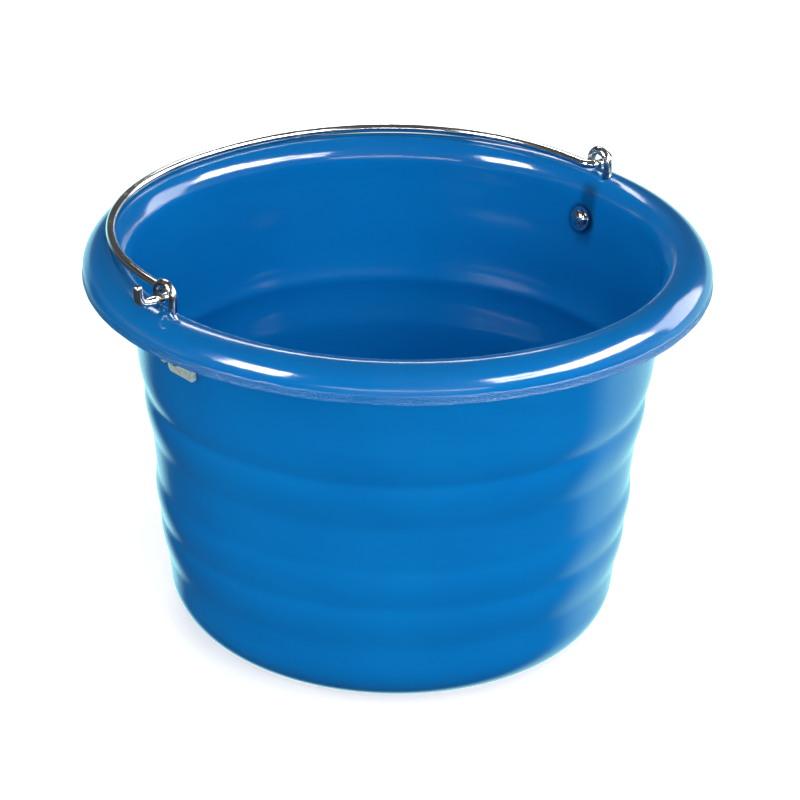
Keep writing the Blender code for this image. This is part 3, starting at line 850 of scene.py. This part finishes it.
def make_bolt(name, side, zinc):
    """Slotted mushroom-head bolt, with its head inside the bucket and its thread outside."""
    seat = -SHELL_THICKNESS - washer_setback() - WASHER_THICKNESS - GAP
    end = PLATE_GAP + PLATE_THICKNESS + 2.0 * GAP + WASHER_THICKNESS + NUT_HEIGHT + BOLT_STICK_OUT
    outline = [(0.0, seat - HEAD_HEIGHT)]
    outline += arc((0.0, seat - HEAD_BRIM), HEAD_RADIUS, HEAD_HEIGHT - HEAD_BRIM,
                   HEAD_CROWN_START, 0.0, HEAD_STEPS)
    outline += [(HEAD_RADIUS, seat - HEAD_CHAMFER), (HEAD_RADIUS - HEAD_CHAMFER, seat), (BOLT_RADIUS, seat)]
    turns = int((end - seat) / THREAD_PITCH)
    for turn in range(1, turns):
        height = seat + turn * THREAD_PITCH
        outline.append((BOLT_RADIUS, height - THREAD_CREST))
        outline.append((BOLT_RADIUS - THREAD_DEPTH, height + THREAD_ROOT))
    outline += [(BOLT_RADIUS - THREAD_DEPTH, end), (0.0, end)]
    place = bolt_frame(side)
    bolt = piece(name + "_slotted_bolt", revolve(outline, FASTENER_STEPS), zinc, "bucket",
                 name + "_bolt", place)
    slot = bmesh.new()
    bmesh.ops.create_cube(slot, size=1.0)
    bmesh.ops.scale(slot, vec=(SLOT_WIDTH, SLOT_LENGTH, 2.0 * SLOT_DEPTH), verts=slot.verts)
    turned = Matrix.Rotation(side * SLOT_TURN, 4, "Z")
    cut(bolt, slot, zinc, place @ Matrix.Translation((0.0, 0.0, seat - HEAD_HEIGHT)) @ turned)


def make_washer(name, side, zinc):
    """The flat washer under the bolt's head."""
    low = -SHELL_THICKNESS - washer_setback() - WASHER_THICKNESS
    high = low + WASHER_THICKNESS
    edge = WASHER_RADIUS - WASHER_CHAMFER
    outline = [(HOLE_RADIUS, low), (edge, low), (WASHER_RADIUS, low + WASHER_CHAMFER)]
    outline += [(WASHER_RADIUS, high - WASHER_CHAMFER), (edge, high), (HOLE_RADIUS, high)]
    piece(name + "_flat_washer", revolve(outline, FASTENER_STEPS, True), zinc, "bucket",
          name + "_inner_washer", bolt_frame(side), WASHER_SHARP_ANGLE)


def make_spring_washer(name, side, zinc):
    """The split lock washer under the nut."""
    low = PLATE_GAP + PLATE_THICKNESS + GAP
    inner = BOLT_RADIUS + GAP
    turn = math.tau - SPRING_WASHER_OPENING
    edge = SPRING_WASHER_RADIUS - SPRING_WASHER_CHAMFER
    section = ((inner, 0.0), (edge, 0.0), (SPRING_WASHER_RADIUS, SPRING_WASHER_CHAMFER),
               (SPRING_WASHER_RADIUS, WASHER_THICKNESS - SPRING_WASHER_CHAMFER),
               (edge, WASHER_THICKNESS), (inner, WASHER_THICKNESS))
    made = bmesh.new()
    rings = []
    for step in range(FASTENER_STEPS + 1):
        angle = SPRING_WASHER_OPENING / 2.0 + turn * step / FASTENER_STEPS
        rings.append([made.verts.new((radius * math.cos(angle), radius * math.sin(angle), low + height))
                      for radius, height in section])
    for before, after in zip(rings, rings[1:]):
        for corner in range(len(section)):
            follow = (corner + 1) % len(section)
            made.faces.new((before[corner], before[follow], after[follow], after[corner]))
    made.faces.new(rings[0])
    made.faces.new(rings[-1][::-1])
    piece(name + "_lock_washer", made, zinc, "bucket", name + "_spring_washer",
          bolt_frame(side), WASHER_SHARP_ANGLE)


def make_nut(name, side, zinc):
    """A hexagon nut whose corners are turned down at both faces."""
    low = PLATE_GAP + PLATE_THICKNESS + 2.0 * GAP + WASHER_THICKNESS
    flat = NUT_ACROSS_FLATS / 2.0
    corner = flat / math.cos(math.pi / 6.0)
    bore = BOLT_RADIUS + GAP
    face = flat * NUT_FACE_SHARE
    levels = [(bore, 0.0), (face, 0.0)]
    for step in range(1, NUT_CHAMFER_STEPS + 1):
        levels.append((face + (corner - face) * step / NUT_CHAMFER_STEPS,
                       NUT_CHAMFER * step / NUT_CHAMFER_STEPS))
    levels += [(radius, NUT_HEIGHT - height) for radius, height in levels[::-1]]
    made = bmesh.new()
    rings = []
    for limit, height in levels:
        ring = []
        for step in range(FASTENER_STEPS):
            angle = math.tau * step / FASTENER_STEPS
            hexagon = flat / math.cos(angle % (math.pi / 3.0) - math.pi / 6.0)
            reach = min(hexagon, limit)
            ring.append(made.verts.new((reach * math.cos(angle), reach * math.sin(angle), low + height)))
        rings.append(ring)
    for first, second in zip(rings, rings[1:] + rings[:1]):
        for step in range(FASTENER_STEPS):
            after = (step + 1) % FASTENER_STEPS
            made.faces.new((first[step], first[after], second[after], second[step]))
    piece(name + "_hexagon_nut", made, zinc, "bucket", name + "_nut",
          bolt_frame(side), NUT_SHARP_ANGLE)


# ---------------------------------------------------------------- bail

def hook_path(hook):
    """One end of the bail in its own plane, from the tip inwards through the eye."""
    side = hook["side"]
    lean = Vector((0.0, math.cos(hook["lean"]), math.sin(hook["lean"])))
    corner = Vector((side * hook["run"], 0.0, 0.0))
    points = [corner + lean * hook["tip"]]
    for step in range(BEND_STEPS + 1):
        angle = math.pi / 2.0 * step / BEND_STEPS
        inward = HOOK_BEND * (1.0 - math.sin(angle))
        along = HOOK_BEND * (1.0 - math.cos(angle))
        points.append(corner + lean * inward - Vector((side * along, 0.0, 0.0)))
    bend_center = Vector((side * (BAIL_HALF_WIDTH + EYE_RADIUS), EYE_RADIUS, 0.0))
    for step in range(BEND_STEPS + 1):
        angle = math.pi / 2.0 * step / BEND_STEPS
        points.append(bend_center + EYE_RADIUS * Vector((-side * math.sin(angle), -math.cos(angle), 0.0)))
    return points


def make_bail(wire):
    """The wire bail, from the left tip to the right tip."""
    points = hook_path(HOOKS["left"])
    for step in range(1, BAIL_STEPS):
        angle = math.pi * step / BAIL_STEPS
        across = abs(math.cos(angle)) ** (2.0 / BAIL_SQUARENESS)
        along = math.sin(angle) ** (2.0 / BAIL_SQUARENESS)
        points.append(Vector((
            -math.copysign(BAIL_HALF_WIDTH * across, math.cos(angle)),
            EYE_RADIUS + (BAIL_REACH - EYE_RADIUS) * along,
            0.0,
        )))
    points += hook_path(HOOKS["right"])[::-1]
    tilt = Matrix.Rotation(-BAIL_TILT, 4, "X")
    placed = [tilt @ point + PIVOT for point in points]
    line = soften(resample(placed, WIRE_SPACING), WIRE_SOFTENING_PASSES)
    rod = tube(line, WIRE_RADIUS, WIRE_SIDES, WIRE_END_ROUND)
    piece("wire_bail", rod, wire, "bail", "bail_handle")


# ---------------------------------------------------------------- stage

def make_floor():
    """A plain pale floor, which neither shows in the object's reflections nor lights it."""
    s = Surface("pale_floor")
    mottle = s.span(s.noise(2.0, 2.0), 0.3, 0.7)
    color = s.mix(mottle, *FLOOR_SHADES)
    surface = s.finish(color, FLOOR_ROUGHNESS, s.bump(s.noise(300.0), 0.05 * MM, 0.1), 0.0)
    s.shader.inputs["Emission Color"].default_value = (1.0, 1.0, 1.0, 1.0)
    s.shader.inputs["Emission Strength"].default_value = FLOOR_GLOW
    made = bmesh.new()
    bmesh.ops.create_grid(made, x_segments=2, y_segments=2, size=FLOOR_HALF_SIZE)
    bmesh.ops.translate(made, vec=(0.0, 0.0, -FLOOR_DROP), verts=made.verts)
    floor = piece("floor", made, surface, None, None)
    floor.visible_glossy = False
    floor.visible_diffuse = False


def seen_from_camera(right, up, back):
    """A place given along the camera's right, the world's up and back towards the camera."""
    angle = CAMERA_AZIMUTH
    across = Vector((math.cos(angle), -math.sin(angle), 0.0))
    away = Vector((math.sin(angle), math.cos(angle), 0.0))
    return across * right + Vector((0.0, 0.0, up)) - away * back


def make_light(name, place, size, power, target):
    """A soft rectangular lamp, turned to face a target."""
    lamp = bpy.data.lights.new(name, "AREA")
    lamp.shape = "RECTANGLE"
    lamp.size, lamp.size_y = size
    lamp.energy = power
    made = bpy.data.objects.new(name, lamp)
    made.location = place
    made.rotation_euler = (target - place).to_track_quat("-Z", "Y").to_euler()
    bpy.context.collection.objects.link(made)
    return made


def make_world():
    """The surroundings: dim above the horizon, and below it bright behind the object, dark in front."""
    world = bpy.data.worlds.new("studio")
    world.use_nodes = True
    tree = world.node_tree
    background = tree.nodes["Background"]

    def add_node(kind, **settings):
        node = tree.nodes.new(kind)
        for name, value in settings.items():
            setattr(node, name, value)
        return node

    def span(value, low, high, to_low, to_high):
        node = add_node("ShaderNodeMapRange", interpolation_type="SMOOTHSTEP")
        tree.links.new(value, node.inputs["Value"])
        for name, limit in (("From Min", low), ("From Max", high), ("To Min", to_low), ("To Max", to_high)):
            node.inputs[name].default_value = limit
        return node.outputs["Result"]

    direction = add_node("ShaderNodeTexCoord").outputs["Generated"]
    parts = add_node("ShaderNodeSeparateXYZ")
    tree.links.new(direction, parts.inputs[0])
    height = parts.outputs["Z"]
    facing = add_node("ShaderNodeVectorMath", operation="DOT_PRODUCT")
    tree.links.new(direction, facing.inputs[0])
    away = CAMERA_AZIMUTH + WORLD_BACK_TURN
    facing.inputs[1].default_value = (math.sin(away), math.cos(away), 0.0)
    low = add_node("ShaderNodeMix", data_type="RGBA")
    tree.links.new(span(facing.outputs["Value"], *WORLD_BACK_EDGE, 0.0, 1.0), low.inputs[0])
    low.inputs[6].default_value = (*WORLD_DARK, 1.0)
    low.inputs[7].default_value = (*WORLD_BACK, 1.0)

    ramp = add_node("ShaderNodeValToRGB")
    tree.links.new(height, ramp.inputs["Fac"])
    stops = ramp.color_ramp.elements
    for stop, (position, value) in zip(stops, (WORLD_SKY[0], WORLD_SKY[-1])):
        stop.position = position
        stop.color = (value, value, value, 1.0)
    for position, value in WORLD_SKY[1:-1]:
        stops.new(position).color = (value, value, value, 1.0)
    blend = add_node("ShaderNodeMix", data_type="RGBA")
    tree.links.new(span(height, -WORLD_HORIZON, WORLD_HORIZON, 0.0, 1.0), blend.inputs[0])
    tree.links.new(low.outputs[2], blend.inputs[6])
    tree.links.new(ramp.outputs["Color"], blend.inputs[7])
    tree.links.new(blend.outputs[2], background.inputs["Color"])
    background.inputs["Strength"].default_value = WORLD_STRENGTH
    bpy.context.scene.world = world


def make_lights():
    """The studio's soft lamps."""
    middle = Vector((0.0, 0.0, CREST_Z * LAMP_AIM))
    for name, (right, up, back), size, power, gives in LAMPS:
        lamp = make_light(name, seen_from_camera(right, up, back), size, power, middle)
        lamp.visible_glossy = gives == "shine"
        lamp.visible_diffuse = gives == "fill"
        lamp.visible_camera = False


def make_camera():
    """The camera, at the photographed angle and distance."""
    a, e, r = CAMERA_AZIMUTH, CAMERA_ELEVATION, CAMERA_ROLL
    level = Vector((math.cos(a), -math.sin(a), 0.0))
    away = Vector((math.sin(a), math.cos(a), 0.0))
    vertical = Vector((0.0, 0.0, 1.0))
    upright = away * math.sin(e) + vertical * math.cos(e)
    back = vertical * math.sin(e) - away * math.cos(e)
    right = level * math.cos(r) - upright * math.sin(r)
    up = level * math.sin(r) + upright * math.cos(r)
    target = level * TARGET_RIGHT + vertical * (CREST_Z - TARGET_BELOW_CREST)
    data = bpy.data.cameras.new("camera")
    data.lens = CAMERA_LENS
    data.clip_end = CAMERA_REACH
    camera = bpy.data.objects.new("camera", data)
    turn = Matrix((right, up, back)).transposed().to_4x4()
    camera.matrix_world = Matrix.Translation(target + back * CAMERA_DISTANCE) @ turn
    bpy.context.collection.objects.link(camera)
    bpy.context.scene.camera = camera


plastic_finish = make_plastic()
# Zinc with a painted blue-green reflection and painted light, for the plate, lock washer and nut
painted_reflection_zinc = make_zinc("zinc_plate_painted_reflection", *PAINTED_REFLECTION_ZINC)
rod_zinc = make_zinc("zinc_rod_finish", *ROD_ZINC)
bolt_zinc = make_zinc("zinc_bolt_finish", *BOLT_ZINC)
make_shell(plastic_finish)
for ear_name, ear_side in (("left", -1), ("right", 1)):
    make_plate(ear_name, ear_side, painted_reflection_zinc)
    make_eye(ear_name, ear_side, rod_zinc)
    make_welds(ear_name, ear_side, rod_zinc)
    make_bolt(ear_name, ear_side, bolt_zinc)
    make_washer(ear_name, ear_side, bolt_zinc)
    make_spring_washer(ear_name, ear_side, painted_reflection_zinc)
    make_nut(ear_name, ear_side, painted_reflection_zinc)
make_bail(make_wire())
make_floor()
make_world()
make_lights()
make_camera()
bpy.context.scene.view_settings.view_transform = "Standard"
